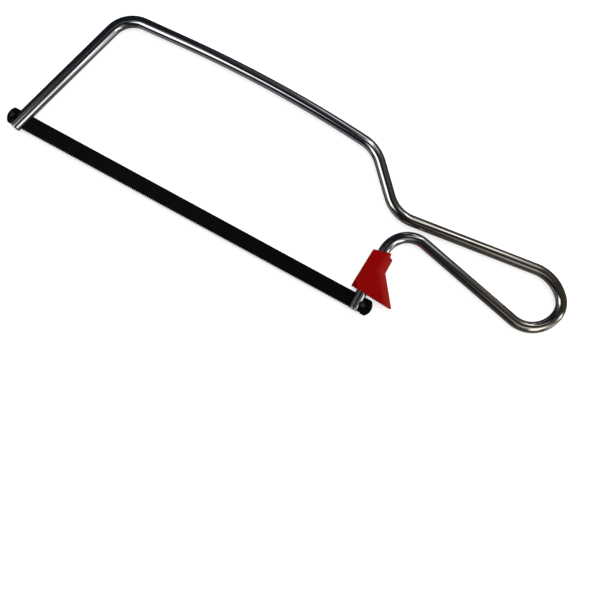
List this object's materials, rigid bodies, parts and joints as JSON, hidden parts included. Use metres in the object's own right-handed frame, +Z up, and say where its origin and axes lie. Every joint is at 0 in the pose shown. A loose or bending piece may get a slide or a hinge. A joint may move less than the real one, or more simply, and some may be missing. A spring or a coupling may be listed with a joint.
{
  "type": "mini hacksaw",
  "caption": "Mini hacksaw: a bent plated rod forms the bow and the looped handle, and holds a slim pin-ended blade under tension, with a small plastic finger guard on the rear leg.",
  "frame": {"origin": "under the middle of the saw's box, on the surface that the saw lies on", "axes": "+X along the blade towards the handle, +Y from the teeth towards the spine, +Z up out of the plane of the frame"},
  "size_m": [0.2206, 0.0626, 0.008],
  "materials": {
    "rod_plating": "bright plated spring-steel rod",
    "blade_steel": "blackened thin strip steel",
    "pin_steel": "dull blackened pin with bare brown end faces",
    "guard_plastic": "red moulded plastic with a soft sheen"
  },
  "bodies": {
    "frame": {"frame_rod": "rod_plating"},
    "blade": {"saw_blade": "blade_steel", "front_blade_pin": "pin_steel", "rear_blade_pin": "pin_steel"},
    "guard": {"finger_guard": "guard_plastic"}
  },
  "joints": [
    {"name": "blade_swing", "type": "hinge", "parent": "frame", "child": "blade", "pos_m": [-0.10833, -0.02727, 0.004], "axis": [0, 0, -1], "range_deg": [0, 90]},
    {"name": "guard_slide", "type": "slide", "parent": "frame", "child": "guard", "axis": [0, -1, 0], "range_m": [0, 0.0027]}
  ]
}
